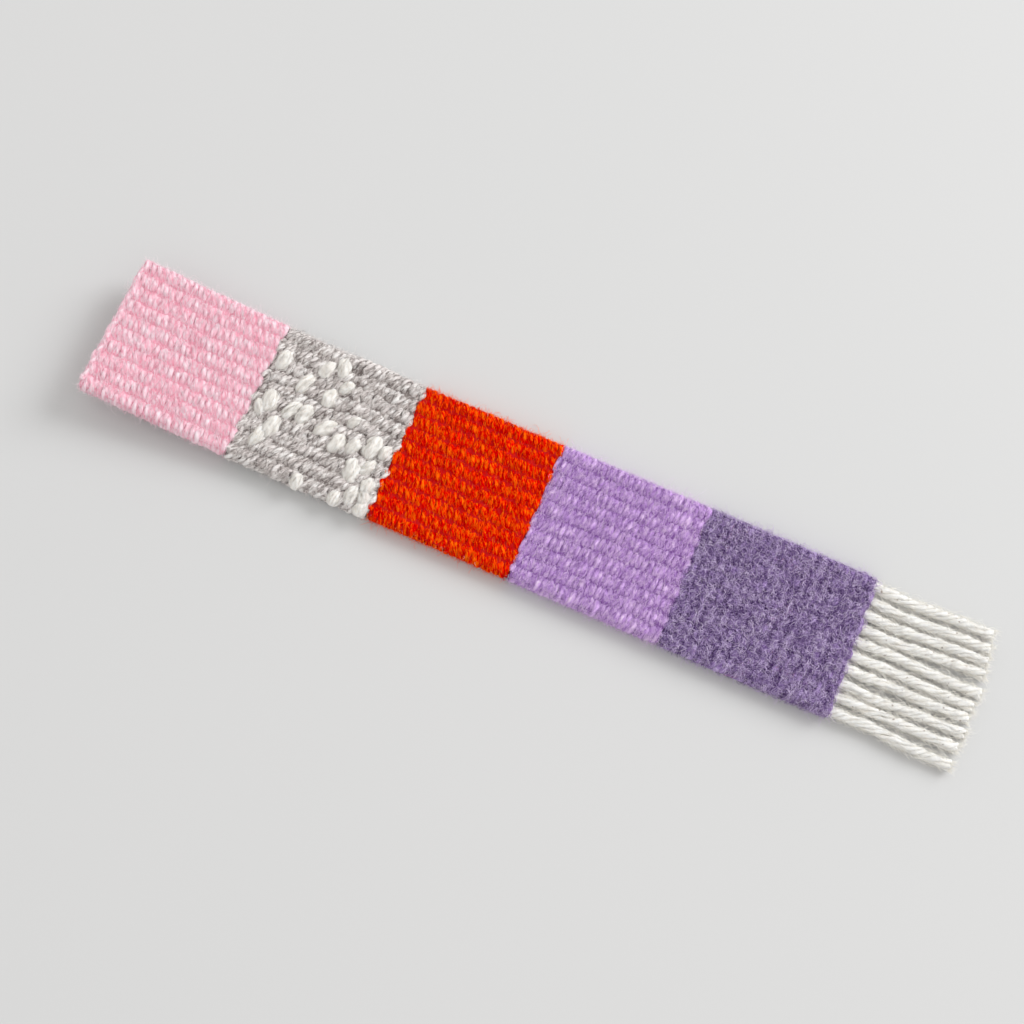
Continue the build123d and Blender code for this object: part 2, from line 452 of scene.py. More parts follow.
def weft(name, start, length, spacing, twist_mm, groove, loose, seed, wobble=0.12, uneven=0.0, fill=1.05,
         dive=0.14, rib_wander=0.16, flatness=0.33, painted_shade_tone=0.5, painted_highlight_tone=0.72, white=None):
    """A block's yarn as one piece, and its rings. twist_mm is the length of one turn of its two plies,
    negative for an S twist."""
    picks = int(round(length / spacing))
    spacing = length / picks
    points, crown, row = weft_route(start, length, picks, loose, dive, flatness, seed)
    r = np.random.default_rng(seed + 1)
    along, y, height = points.T
    # neighbouring picks and ribs wander together, and less at the block's ends and selvedges
    inside = np.clip(np.minimum(along - start, start + length - along) / 2.0, 0.25, 1)
    points[:, 0] += wobble * wander(along, y, 7.0, seed + 2) * inside
    points[:, 1] += rib_wander * wander(along, y, 9.0, seed + 3) * np.clip(1.2 - np.abs(y) / 15, 0.3, 1)
    gone = lengths_along(points)
    thick_thin = 1 + uneven * wavy(gone, 3.0, seed + 4)
    wide = fill * spacing * (0.62 + 0.54 * crown) * (1 + 0.07 * r.normal(0, 1, picks)[row]) * thick_thin
    deep = (0.56 - 0.17 * crown) * thick_thin
    turn = 2 * math.pi * gone / twist_mm + 0.9 * wavy(gone, 8.0, seed + 5)
    section = plied_section(groove)
    hairy = 1 + 0.05 * r.normal(0, 1, (len(points), SIDES))
    rings = yarn_rings(points, wide, deep, turn, section * hairy)
    mottle = 0.12 * wavy(gone, 2.0, seed + 6)[:, None]
    # painted shade and highlight: the tone is lowest deep in the groove between the plies and where a bead
    # dives between warp ends, and highest on the beads' crowns; the mottle is random tone
    painted_light_tone = painted_shade_tone + (painted_highlight_tone - painted_shade_tone) * crown[:, None]
    values = {"tone": (painted_light_tone * (0.45 + 0.55 * ply_depth(section)) + mottle).ravel()}
    if white is not None:
        shade = np.where(np.arange(SIDES) < SIDES // 2, 0.1, 0.9)[None] + white(points, gone)[:, None]
        values["ply"] = np.clip(shade, 0, 1).ravel()
    layers = {"Fibre": tube_uvs(gone, SIDES), "OFBake": pick_atlas(row, picks)}
    piece = new_mesh(name, rings.reshape(-1, 3), rings_to_quads(len(points), SIDES),
                     tube_caps(len(points), SIDES), layers, values, world=False)
    print(f"{name}: {picks} picks, {gone[-1] / 1000:.2f} m of yarn")
    return piece, rings


# ---------------------------------------------------------------- ground cloth inside the wefts
def rib_height(y, low, high):
    """Half thickness of the ribbed cloth at a place across it."""
    nearest = np.clip(np.round((y + EDGE_WARP) / PITCH), 0, WARP_ENDS - 1)
    off = np.abs(y + EDGE_WARP - nearest * PITCH) / (PITCH / 2)
    return low + (high - low) * np.sqrt(np.clip(1 - (off * 0.98) ** 2, 0, 1))


def ground_cloth(name, start, length, spacing, low, high):
    """The beaten-down inside of a block: a closed ribbed cloth just under the beads."""
    rows = max(8, int(length / spacing))
    y = np.linspace(-EDGE_WARP - 1.1, EDGE_WARP + 1.1, 121)
    along = np.linspace(start + 0.15, start + length - 0.1, rows)
    half = rib_height(y, low, high)
    grid_along, grid_y = np.meshgrid(along, y, indexing="ij")
    bumps = 0.05 * np.cos(2 * math.pi * (grid_along - start) / (2 * spacing))
    top = MID + half[None] + bumps
    under = MID - half[None] - bumps
    upper = np.stack([grid_along, grid_y, top], axis=-1)
    lower = np.stack([grid_along, grid_y, under], axis=-1)[:, ::-1]
    rings = np.concatenate([upper, lower], axis=1)
    sides = rings.shape[1]
    quads = rings_to_quads(rows, sides)[:, ::-1]
    strip = np.arange(len(y) - 1)
    ends = []
    for ring in (0, rows - 1):
        top_row, low_row = ring * sides + strip, ring * sides + sides - 1 - strip
        cap = np.stack([top_row, top_row + 1, low_row - 1, low_row], axis=-1)
        ends.append(cap if ring == 0 else cap[:, ::-1])
    quads = np.concatenate([quads, *ends])
    return new_mesh(name, rings.reshape(-1, 3), quads, world=False)


# ---------------------------------------------------------------- loose fibres
FIBRE_POINTS = 5
SHARES = np.linspace(0, 1, FIBRE_POINTS)


FIBRE_SIDES = 3
FIBRE_TAPER = np.array([0.7, 1.0, 1.0, 0.8, 0.3])


def fibre_tubes(name, lines, radius, tone, world=False):
    """Thin hairs along lines of five points, as closed three-sided tubes, each with its own tone."""
    lines[..., 2] = np.maximum(lines[..., 2], 0.03)
    ahead = unit(np.gradient(lines, axis=1))
    aside = unit(np.cross(ahead, np.array([0.31, 0.22, 0.93])))
    out = np.cross(ahead, aside)
    angle = np.arange(FIBRE_SIDES) * 2 * math.pi / FIBRE_SIDES
    size = (radius[:, None] * FIBRE_TAPER)[..., None, None]
    rings = lines[:, :, None] + size * (
        np.cos(angle)[:, None] * aside[:, :, None] + np.sin(angle)[:, None] * out[:, :, None])
    count = len(lines)
    corners = FIBRE_POINTS * FIBRE_SIDES
    first = np.arange(count)[:, None] * corners
    quads = rings_to_quads(FIBRE_POINTS, FIBRE_SIDES)[None] + first[..., None]
    caps = np.concatenate([first + cap for cap in tube_caps(FIBRE_POINTS, FIBRE_SIDES)])
    # each fibre has a small cell of the bake's map to itself
    across = int(math.ceil(math.sqrt(count)))
    cell_u, cell_v = np.arange(count) % across, np.arange(count) // across
    runs = FIBRE_POINTS - 1
    step, side = np.repeat(np.arange(runs), FIBRE_SIDES), np.tile(np.arange(FIBRE_SIDES), runs)
    u = [(cell_u[:, None] + inset((step + k) / runs, 0.1)).ravel() / across for k in (0, 1)]
    v = [(cell_v[:, None] + inset((side + k) / FIBRE_SIDES, 0.1)).ravel() / across for k in (0, 1)]
    layers = {"OFBake": corner_uvs(*u, *v)}
    return new_mesh(name, rings.reshape(-1, 3), quads.reshape(-1, 4), list(caps), layers,
                    {"tone": np.repeat(tone, corners)}, world=world)


def bowed(root, step, bow):
    """Lines of five points from each root along its step, bowed aside in the middle."""
    share = SHARES[None, :, None]
    return root[:, None] + step[:, None] * share + bow[:, None] * 4 * share * (1 - share)


def on_ring(rings, ring, side):
    """Points on a yarn's surface, at fractional places round its rings."""
    low = np.floor(side)
    part = (side - low)[:, None]
    low = low.astype(int)
    sides = rings.shape[1]
    return rings[ring, low % sides] * (1 - part) + rings[ring, (low + 1) % sides] * part


def lifting_lines(rings, ring, hop, side, drift, rise, clear):
    """Lines of five points over a tube's rings, that lift off it towards their free ends."""
    centre = rings.mean(axis=1)
    lines = []
    for step, share in enumerate(SHARES):
        there = ring + step * hop
        point = on_ring(rings, there, side + drift * share)
        lines.append(point + unit(point - centre[there]) * (clear + rise * share ** 1.6)[:, None])
    return np.stack(lines, axis=1)


def clinging_lines(rings, count, face, hops, lift, seed):
    """Fibres that run with the plies on the yarn's outer surface and lift off at their free ends."""
    r = np.random.default_rng(seed)
    tries = count * 8
    hop = r.integers(1, hops + 1, tries)
    ring = r.integers(0, len(rings) - 4 * hops - 1, tries)
    side = r.uniform(0, SIDES, tries)
    root = on_ring(rings, ring, side)
    out = unit(root - rings.mean(axis=1)[ring])
    on_face = (face * (root[:, 2] - MID) > 0.9) & (face * out[:, 2] > 0.0)
    on_edge = (np.abs(root[:, 1]) > EDGE_WARP + 0.9) & (np.sign(root[:, 1]) * out[:, 1] > 0.2)
    on_edge &= face * (root[:, 2] - MID) > -0.05
    kept = np.flatnonzero(on_face | on_edge)[:count]
    drift = r.normal(0, 0.9, len(kept))
    rise = lift * r.gamma(1.2, 0.8, len(kept))
    return lifting_lines(rings, ring[kept], hop[kept], side[kept], drift, rise, 0.012)


def surface_height(y, valley):
    """Half thickness of the weave over its beads, round to nothing at the selvedges."""
    ribbed = rib_height(y, valley, 1.74)
    past = np.maximum(np.abs(y) - EDGE_WARP, 0) / 1.8
    return ribbed * np.sqrt(np.clip(1 - past ** 2, 0, 1))


def felted_lines(start, length, count, face, run, heading, spread, lift, curl, valley, seed):
    """Fibres that lie over the beads of one face, matted together. heading is in degrees from the +Y axis
    towards +X as seen from above."""
    r = np.random.default_rng(seed)
    size = run * r.uniform(0.5, 1.4, count)
    angle = np.radians(heading + spread * r.normal(0, 1, count)) + math.pi * r.integers(0, 2, count)
    middle_along = r.uniform(start + 0.1, start + length - 0.1, count)
    middle_y = r.uniform(-EDGE_WARP - 1.65, EDGE_WARP + 1.65, count)
    bow = curl * size * r.normal(0, 1, count)
    hump = 4 * SHARES * (1 - SHARES)
    gone = size[:, None] * (SHARES - 0.5)
    along = middle_along[:, None] + np.sin(angle)[:, None] * gone + (np.cos(angle) * bow)[:, None] * hump
    y = middle_y[:, None] + np.cos(angle)[:, None] * gone - (np.sin(angle) * bow)[:, None] * hump
    rise = (lift * r.gamma(1.5, 0.6, count))[:, None] * (0.3 + 0.7 * hump)
    height = MID + face * (surface_height(y, valley) - 0.02 + rise)
    return np.stack([along, y, height], axis=-1)


def halo_lines(start, length, count, run, ends, seed):
    """Fibres that stand out of both selvedges, and out of the ends that are asked for (-1 start, 1 end)."""
    r = np.random.default_rng(seed)
    sets = []
    for end in (0, *ends):
        n = count // 3 if end else count
        tall = r.uniform(-0.95, 0.95, n)
        size = run * r.gamma(1.6, 0.42, n)
        lean, out = r.normal(0, 0.6, n), r.uniform(0.35, 1, n)
        if end:
            along = np.full(n, start + 0.2 if end < 0 else start + length - 0.2)
            y = r.uniform(-EDGE_WARP - 1.4, EDGE_WARP + 1.4, n)
            step = [end * out * size, lean * size, 0.5 * tall * size]
        else:
            side = np.where(r.random(n) < 0.7, 1, -1)
            along = r.uniform(start, start + length, n)
            y = side * (EDGE_WARP + 1.62 * np.sqrt(1 - tall ** 2))
            step = [lean * size, side * out * size, 0.5 * tall * size]
        bow = 0.28 * size[:, None] * r.normal(0, 1, (n, 3))
        sets.append(bowed(np.stack([along, y, MID + 1.6 * tall], -1), np.stack(step, -1), bow))
    return np.concatenate(sets)


# ---------------------------------------------------------------- nubs of the slub weft
# rib counted from -Y, millimetres past the pink block, length across the strip, width along it, lean
NUBS = [
    (7.1, 2.2, 4.3, 2.9, 0.1), (6.2, 8.4, 4.4, 2.8, 0.25), (7.7, 11.3, 3.9, 2.7, 0.2),
    (8.3, 13.9, 4.1, 2.8, -0.1), (6.0, 14.1, 4.1, 2.8, 0.1), (4.1, 3.2, 4.8, 3.3, 0.0),
    (3.4, 2.0, 3.2, 2.3, -0.2), (4.1, 8.3, 4.2, 2.6, 0.35), (4.2, 10.9, 4.4, 2.8, 0.15),
    (2.5, 5.8, 4.9, 2.9, 0.15), (1.5, 4.1, 4.4, 2.6, 0.15), (3.9, 15.9, 4.0, 3.0, 0.5),
    (3.3, 19.2, 4.1, 2.9, 0.2), (3.5, 22.6, 3.6, 2.6, 0.25), (4.0, 26.4, 5.0, 3.2, 0.1),
    (2.0, 24.3, 4.9, 3.3, -0.1), (7.1, 16.3, 3.0, 2.3, 0.3), (5.1, 20.8, 2.7, 2.1, 0.3),
    (4.0, 29.3, 3.2, 2.2, 0.2), (0.4, 26.6, 4.0, 2.6, 0.1), (-0.2, 15.4, 3.2, 2.3, 0.0),
    (-0.2, 23.8, 3.0, 2.4, 0.1), (-0.1, 29.6, 3.3, 2.5, 0.2), (1.4, 28.6, 3.6, 2.6, 0.1),
    (0.5, 28.9, 3.4, 2.6, -0.2), (2.6, 27.2, 3.6, 2.4, 0.3),
]
NUB_RINGS, NUB_SIDES = 34, 36
NUB_HEIGHT = 1.5                 # half height of a nub
NUB_SINK = 0.68                  # how far its middle lies below the crests
NUB_FLUFF = (1.08, 1.14)         # how much wider and longer its loose wool makes it
NUB_CELLS = 6                    # the bake's map has six rows of six nubs


def nub_lines(nubs, count, seed):
    """Fibres that lie along the top of each nub and lift off at their ends."""
    r = np.random.default_rng(seed)
    sets = []
    for rings in nubs:
        ring = r.integers(1, NUB_RINGS - 13, count)
        side = r.uniform(-1, NUB_SIDES / 2 + 1, count)
        drift = r.normal(0, 2.0, count)
        rise = 0.1 * r.gamma(1.2, 0.8, count)
        sets.append(lifting_lines(rings, ring, 3, side, drift, rise, 0.008))
    return np.concatenate(sets)


def one_nub(number, nub, r):
    """A nub's rings and the tones of their corners: ridges of long fibres wound round it, and every second
    nub folded. The tones paint a highlight on the ridges and shade between them and in the fold's crease."""
    rib, past, across, wide, lean = nub
    share = np.linspace(-1, 1, NUB_RINGS)[:, None]
    angle = np.arange(NUB_SIDES) * 2 * math.pi / NUB_SIDES
    size = np.sqrt(np.clip(1 - np.abs(share) ** 2.2, 0.0008, 1)) * (1 + 0.1 * r.normal() * share)
    spiral = angle[None] + share * r.uniform(-0.2, 0.8)
    ridges = np.abs(np.sin(spiral * 5.5 + r.uniform(0, 6) + 0.5 * share ** 2)) ** 0.6
    rough = wander(spiral * 3, share * 2.5, 1.2, 100 + number)
    fold_at = math.pi / 2 + r.uniform(-0.8, 0.8)
    fold = (number % 2) * 0.2 * np.exp(-((spiral - fold_at) / 0.2) ** 2)
    swell = size * (1 + 0.11 * (ridges - 0.6) + 0.11 * rough - fold)
    y = NUB_FLUFF[1] * across / 2 * share * np.ones(NUB_SIDES)
    x = NUB_FLUFF[0] * wide / 2 * swell * np.cos(angle) + 0.16 * r.normal() * (1 - share ** 2) + lean * y
    centre = (past - SLUB_LENGTH, rib * PITCH - EDGE_WARP, THICK - NUB_SINK)
    rings = np.stack([x, y, NUB_HEIGHT * swell * np.sin(angle)], axis=-1) + centre
    # painted highlight on the ridges, painted shade between them and in the fold
    return rings, 0.36 + 0.42 * ridges - 1.4 * fold


def nub_piece():
    """Thick nubs of unspun wool as one piece, and each one's rings."""
    r = np.random.default_rng(77)
    longest = max(across for _, _, across, _, _ in NUBS)
    tubes = []
    for number, nub in enumerate(NUBS):
        rings, tone = one_nub(number, nub, r)
        fibre = tube_uvs(np.linspace(-1, 1, NUB_RINGS) * nub[2] / 2, NUB_SIDES)
        u = (number % NUB_CELLS + inset(fibre[:, 0] / longest + 0.5, 0.025)) / NUB_CELLS
        v = (number // NUB_CELLS + inset(fibre[:, 1], 0.025)) / NUB_CELLS
        tubes.append((rings, fibre, np.stack([u, v], axis=-1), tone))
    return tubes_piece("slub_nubs", tubes), [rings for rings, *_ in tubes]


# ---------------------------------------------------------------- fringe
# For each warp end from the +Y edge: its length past the weave, the sideways place of its tip, and the
# sideways swing of its middle.
FRINGE = [
    (25.5, 0.6, -0.3),
    (25.9, 0.5, -0.5),
    (26.2, 1.0, -0.4),
    (26.5, 1.3, -0.3),
    (27.0, 0.4, 0.4),
    (26.4, 0.3, 0.3),
    (26.1, 0.6, 0.3),
    (26.5, 0.4, -0.5),
    (26.0, 0.3, 0.3),
    (25.8, -0.5, 0.4),
]
FRINGE_SWING_AT = (0.34, 0.7)
FRINGE_ROOT = 4.0
TIP_CLEAR = 0.1
HIDDEN_ROOT = 9.0                # how far inside the weave a visible end starts
PLIES, PLY_SIDES, PLY_STEP, CORD_TWIST = 5, 12, 0.24, 11.5
PLY_R = 0.49
FLUFFED_R = 1.07                 # how far the plies' soft outsides reach
UNTWISTED = 2.5                  # the last of each end, where the plies spread


def fringe_points(y, end):
    """The route's points, in millimetres along the strip, across it and above the surface."""
    length, tip_y, swing = end
    low = CORD_R + TIP_CLEAR
    first, second = FRINGE_SWING_AT
    return [
        (WEAVE_END - HIDDEN_ROOT, y, MID),
        (WEAVE_END - FRINGE_ROOT, y, MID),
        (WEAVE_END + 2.5, y + 0.15 * swing, MID - 0.05),
        (WEAVE_END + first * length, y + 0.5 * tip_y * first + swing, MID - 0.35),
        (WEAVE_END + second * length, y + tip_y * second - 0.5 * swing, low + 0.1),
        (WEAVE_END + length, y + tip_y, low),
    ]


def smooth_line(points):
    """The points of a NURBS spline that has these control points."""
    curve = bpy.data.curves.new("route", "CURVE")
    curve.dimensions = "3D"
    curve.resolution_u = 24
    spline = curve.splines.new("NURBS")
    spline.points.add(len(points) - 1)
    for control, point in zip(spline.points, points):
        control.co = (*point, 1)
    spline.order_u = 3
    spline.use_endpoint_u = True
    holder = bpy.data.objects.new("route", curve)
    mesh = bpy.data.meshes.new_from_object(holder)
    line = np.array([vertex.co for vertex in mesh.vertices], float)
    bpy.data.objects.remove(holder)
    bpy.data.curves.remove(curve)
    bpy.data.meshes.remove(mesh)
    return line


def evenly(line, step):
    """The same line with its points a step apart."""
    gone = lengths_along(line)
    at = np.linspace(0, gone[-1], int(gone[-1] / step) + 1)
    return np.stack([np.interp(at, gone, line[:, k]) for k in range(3)], axis=-1)


def cord_piece(name, line, seed):
    """A plied cotton cord round a line in millimetres: its plies are tubes wound round each other."""
    r = np.random.default_rng(seed)
    middle = evenly(line, PLY_STEP)
    gone = lengths_along(middle)
    _, aside, above = frame_along(middle)
    start = r.uniform(0, 6)
    untwist = np.clip((gone - gone[-1] + UNTWISTED) / UNTWISTED, 0, 1) ** 2
    spin = np.arange(PLY_SIDES) * 2 * math.pi / PLY_SIDES
    fibre = tube_uvs(gone, PLY_SIDES)
    # painted shade and highlight: each ply's tone is highest on its outer side and lowest where it turns in
    # towards the other plies
    tone = 0.25 + 0.6 * (0.5 + 0.5 * np.cos(spin))[None] * np.ones((len(gone), 1))
    tubes = []
    for ply in range(PLIES):
        angle = start + 2 * math.pi * (gone / CORD_TWIST + ply / PLIES)
        angle = angle + 0.5 * wavy(gone, 5, seed) + 0.3 * wavy(gone, 3, seed + ply + 1)
        out = np.cos(angle)[:, None] * aside + np.sin(angle)[:, None] * above
        wobble = 1 + 0.12 * wavy(gone, 2.2, seed + 10 + ply) + 0.4 * untwist
        ply_line = middle + out * ((FLUFFED_R - PLY_R) * wobble)[:, None]
        size = PLY_R * (1 + 0.17 * wavy(gone, 1.8, seed + 20 + ply))
        across = unit(np.cross(unit(np.gradient(ply_line, axis=0)), out))
        strand = 1 + 0.12 * np.cos(3 * (spin[None] - gone[:, None] * 0.9))
        strand = strand + 0.09 * r.normal(0, 1, (len(gone), PLY_SIDES))
        rings = ply_line[:, None] + (size[:, None] * strand)[..., None] * (
            np.cos(spin)[None, :, None] * out[:, None] + np.sin(spin)[None, :, None] * across[:, None])
        # each ply has its own stretch of the streaks
        tubes.append((rings, fibre + [ply * 50, 0], atlas_row(fibre, gone[-1], ply, PLIES), tone))
    return tubes_piece(name, tubes, flip=True, world=True), middle


LINT_ALONG, LINT_AT_TIP = 1300, 220
LINT_REACH = 27.0                # the stretch up to the tip that the lint is on
LINT_SIDEWAYS = 0.65             # share of the lint that stands out sideways, into the gaps


def cord_lint(name, lines, seed):
    """Short stray fibres on the fringe, more of them at the cut tips."""
    r = np.random.default_rng(seed)
    count = LINT_ALONG + LINT_AT_TIP
    at_tip = np.arange(count) >= LINT_ALONG
    sets = []
    for line in lines:
        gone = lengths_along(line)
        visible = np.flatnonzero(gone > gone[-1] - LINT_REACH)
        picked = np.concatenate([r.choice(visible, LINT_ALONG), np.full(LINT_AT_TIP, len(line) - 1)])
        ahead, aside, above = (direction[picked] for direction in frame_along(line))
        sideways = math.pi * r.integers(0, 2, count) + r.normal(-0.1, 0.5, count)
        angle = np.where(r.random(count) < LINT_SIDEWAYS, sideways, r.uniform(0, 2 * math.pi, count))[:, None]
        out = np.cos(angle) * aside + np.sin(angle) * above
        round_it = np.sin(angle) * aside - np.cos(angle) * above
        radial = np.where(at_tip, CORD_R * np.sqrt(r.random(count)), 0.95 * CORD_R)
        run = r.gamma(2.4, 0.4, count).clip(0.2, 2.4) * np.where(at_tip, 0.7, 1)
        along = np.where(at_tip, 1.0, r.choice([-1, 1], count))
        step = ahead * (run * along)[:, None] + out * (0.5 * run)[:, None]
        step = step + round_it * (run * r.normal(0, 0.35, count))[:, None]
        bow = 0.16 * run[:, None] * r.normal(0, 1, (count, 3))
        sets.append(bowed(line[picked] + out * radial[:, None], step, bow))
    lines = np.concatenate(sets)
    size, tone = 0.03 * r.uniform(0.6, 1.3, len(lines)), r.uniform(0.3, 1, len(lines))
    return fibre_tubes(name, lines, size, tone, world=True)


# ---------------------------------------------------------------- the pink end's cover
# how far inside the block's end each wrap lies, its height over the warp, and its half thickness
END_WRAPS = [(0.5, 0.98, 0.74), (0.34, 0.0, 0.8), (0.5, -0.98, 0.74)]


def end_wraps(name, material):
    """The last lengths of pink weft, which run along the end over the folds of the warp."""
    r = np.random.default_rng(5)
    section = plied_section(0.2)
    y = np.linspace(-EDGE_WARP - 0.75, EDGE_WARP + 0.75, 150)
    close = np.sqrt(np.clip(1 - (np.abs(y) / (EDGE_WARP + 0.8)) ** 14, 0.05, 1))
    # painted shade: the tone is lower in the groove between the plies
    tone = 0.35 + 0.35 * ply_depth(section)[None] * np.ones((len(y), 1))
    tubes = []
    for number, (inside, level, half) in enumerate(END_WRAPS):
        along = -SLUB_LENGTH - PINK_LENGTH + inside + 0.07 * wavy(y, 2.5, 200 + number)
        height = MID + level + 0.07 * np.cos(2 * math.pi * y / PITCH) + 0.03 * wavy(y, 3, 210 + number)
        points = np.stack([along, y, height], axis=-1)
        gone = lengths_along(points)
        hairy = section * (1 + 0.05 * r.normal(0, 1, (len(y), SIDES)))
        rings = yarn_rings(points, half * close * 0.95, half * close, 2 * math.pi * gone / 5.5, hairy)
        fibre = tube_uvs(gone, SIDES)
        tubes.append((rings, fibre, atlas_row(fibre, gone[-1], number, len(END_WRAPS)), tone))
    piece = tubes_piece(name, tubes)
    piece.data.materials.append(material)
    return piece


# ---------------------------------------------------------------- the blocks
def slub_white(points, gone):
    """Where the white ply shows more: in patches, and towards the red block."""
    along, y, _ = points.T
    near_red = np.clip((along + 5.5 - 0.12 * y) / 5.0, 0, 1) * 0.5
    return 0.22 * wavy(gone, 5.0, 900) + near_red


# For each block: its yarn, as weft() takes it. Its wool's colour deep down (painted shade), in the middle, in
# the light (painted highlight) and in the halo (a painted highlight on stray fibres), and the tint of its
# sheen.
# How strongly streaks and blotches change the wool's tone. The fibres that cling to the yarn, the halo at the
# selvedges, and the matted fibres on the top, under the strip and in a second layer over the top. How the
# matted fibres' tones are spread and, as patches, how far their tones follow the place, how much longer a
# patch is across the strip than along it, and its size.
BLOCKS = {
    "pink": dict(
        slot="pink_wool",
        yarn=dict(start=-SLUB_LENGTH - PINK_LENGTH, length=PINK_LENGTH, spacing=0.64, twist_mm=-5.8,
                  groove=0.4, loose=1.2, seed=21, flatness=0.3, painted_shade_tone=0.58),
        colours=(rgb(255, 172, 195), rgb(255, 211, 224), rgb(255, 241, 247), rgb(255, 238, 242),
                 rgb(255, 222, 230)),
        streaks=0.8, blotches=0.2,
        cling=dict(top=3600, under=2600, lift=0.1, size=0.026), halo=dict(count=2400, run=0.7, ends=(-1,)),
        felt=dict(top=6400, under=2400, size=0.034), tones=(0.75, 0.6), patches=(0.13, 2.2, 0.5),
        lie=dict(run=1.2, heading=-24, spread=20, lift=0.05, curl=0.12, valley=1.6)),
    "slub": dict(
        slot="slub_yarn", extra=marl,
        yarn=dict(start=-SLUB_LENGTH, length=SLUB_LENGTH, spacing=0.6, twist_mm=4.6, groove=0.6, loose=2.2,
                  seed=31, wobble=0.34, uneven=0.12, fill=1.34, dive=0.34, rib_wander=0.62, flatness=0.34,
                  white=slub_white),
        colours=(rgb(104, 92, 88), rgb(216, 207, 204), rgb(248, 243, 241), rgb(246, 243, 241),
                 rgb(240, 238, 236)),
        streaks=1.7, blotches=0.3,
        cling=dict(top=4200, under=1800, lift=0.12, size=0.034), halo=dict(count=1600, run=0.75),
        felt=dict(top=4200, under=2000, size=0.038), tones=(0.6, 0.6), patches=(0.2, 1.6, 0.5),
        lie=dict(run=1.2, heading=21, spread=26, lift=0.06, curl=0.14, valley=1.46), inside=(0.95, 1.1)),
    "red": dict(
        slot="red_wool", gloss=0.02,
        yarn=dict(start=0.0, length=LAVENDER_AT, spacing=0.66, twist_mm=-5.6, groove=0.55, loose=1.2, seed=41,
                  flatness=0.42, painted_shade_tone=0.28),
        colours=(rgb(200, 0, 0), rgb(255, 0, 0), rgb(255, 116, 6), rgb(255, 214, 204), rgb(255, 50, 0)),
        streaks=2.4, blotches=0.3,
        cling=dict(top=3400, under=2600, lift=0.1, size=0.034), halo=dict(count=1500, run=0.8),
        felt=dict(top=4200, under=1800, size=0.042), tones=(0.45, 0.85), patches=(0.26, 2.0, 0.5),
        lie=dict(run=1.1, heading=-24, spread=20, lift=0.05, curl=0.1, valley=1.46), inside=(1.05, 1.25)),
    "lavender": dict(
        slot="lavender_wool",
        yarn=dict(start=LAVENDER_AT, length=HEATHER_AT - LAVENDER_AT, spacing=0.6, twist_mm=11.0, groove=0.34,
                  loose=1.2, seed=51, flatness=0.3, painted_shade_tone=0.55),
        colours=(rgb(138, 82, 170), rgb(218, 176, 240), rgb(250, 226, 255), rgb(240, 224, 250),
                 rgb(226, 208, 244)),
        streaks=0.65, blotches=0.15,
        cling=dict(top=4200, under=2400, lift=0.16, size=0.028), halo=dict(count=3000, run=0.8),
        felt=dict(top=7600, under=4000, over=5000, size=0.032), tones=(0.6, 0.5), patches=(0.12, 2.0, 0.45),
        lie=dict(run=1.1, heading=8, spread=30, lift=0.11, curl=0.2, valley=1.62)),
    "heather": dict(
        slot="heather_wool", extra=heather_flecks,
        yarn=dict(start=HEATHER_AT, length=WEAVE_END - HEATHER_AT, spacing=0.68, twist_mm=10.0, groove=0.3,
                  loose=1.3, seed=61, wobble=0.3, uneven=0.08, fill=1.1, dive=0.4, rib_wander=0.3,
                  flatness=0.3, painted_shade_tone=0.4, painted_highlight_tone=0.42),
        colours=(rgb(72, 40, 102), rgb(176, 148, 206), rgb(236, 220, 248), rgb(220, 208, 232),
                 rgb(190, 176, 216)),
        streaks=0.7, blotches=0.2,
        cling=dict(top=3200, under=2200, lift=0.25, size=0.03), halo=dict(count=3000, run=0.95, ends=(1,)),
        felt=dict(top=7600, under=5500, over=7600, size=0.042), tones=(0.66, 0.62), patches=(0.16, 1.0, 0.85),
        lie=dict(run=1.4, heading=10, spread=62, lift=0.16, curl=0.34, valley=1.64)),
}


def clinging_pieces(name, rings, yarn, cling, halo, r):
    """The fibres that cling to a block's yarn, on the top with its halo and under it."""
    start, length, seed = yarn["start"], yarn["length"], yarn["seed"]
    pieces = []
    for face, side in ((1, "top"), (-1, "under")):
        lines = clinging_lines(rings, cling[side], face, 3, cling["lift"], seed + 60 + face)
        tone, thin = 0.12 + 0.66 * r.beta(1.2, 1.0, len(lines)), 1
        if face > 0:
            stray = halo_lines(start, length, halo["count"], halo["run"], halo.get("ends", ()), seed + 70)
            # the stray halo fibres take the palest tones, up to the halo colour, a painted highlight
            tone = np.concatenate([tone, r.uniform(0.6, 1, len(stray))])
            thin = np.repeat([1, 0.72], [len(lines), len(stray)])
            lines = np.concatenate([lines, stray])
        size = cling["size"] * r.uniform(0.7, 1.3, len(lines)) * thin
        pieces.append(fibre_tubes(f"{name}_fuzz_{side}", lines, size, tone))
    return pieces


def felted_pieces(name, yarn, felt, lie, tones, patches, r):
    """A block's matted fibres."""
    start, length, seed = yarn["start"], yarn["length"], yarn["seed"]
    swing, across, patch_mm = patches
    pieces = []
    for layer, (face, side) in enumerate(((1, "top"), (-1, "under"), (1, "over"))):
        if side not in felt:
            continue
        lines = felted_lines(start, length, felt[side], face, **lie, seed=seed + 80 + layer)
        size = felt["size"] * r.uniform(0.6, 1.3, len(lines))
        patch = swing * wander(lines[:, 2, 0], lines[:, 2, 1] / across, patch_mm, seed + 90)
        tone = np.clip(0.8 * r.beta(*tones, len(lines)) + patch, 0, 0.8)
        pieces.append(fibre_tubes(f"{name}_felt_{side}", lines, size, tone))
    return pieces


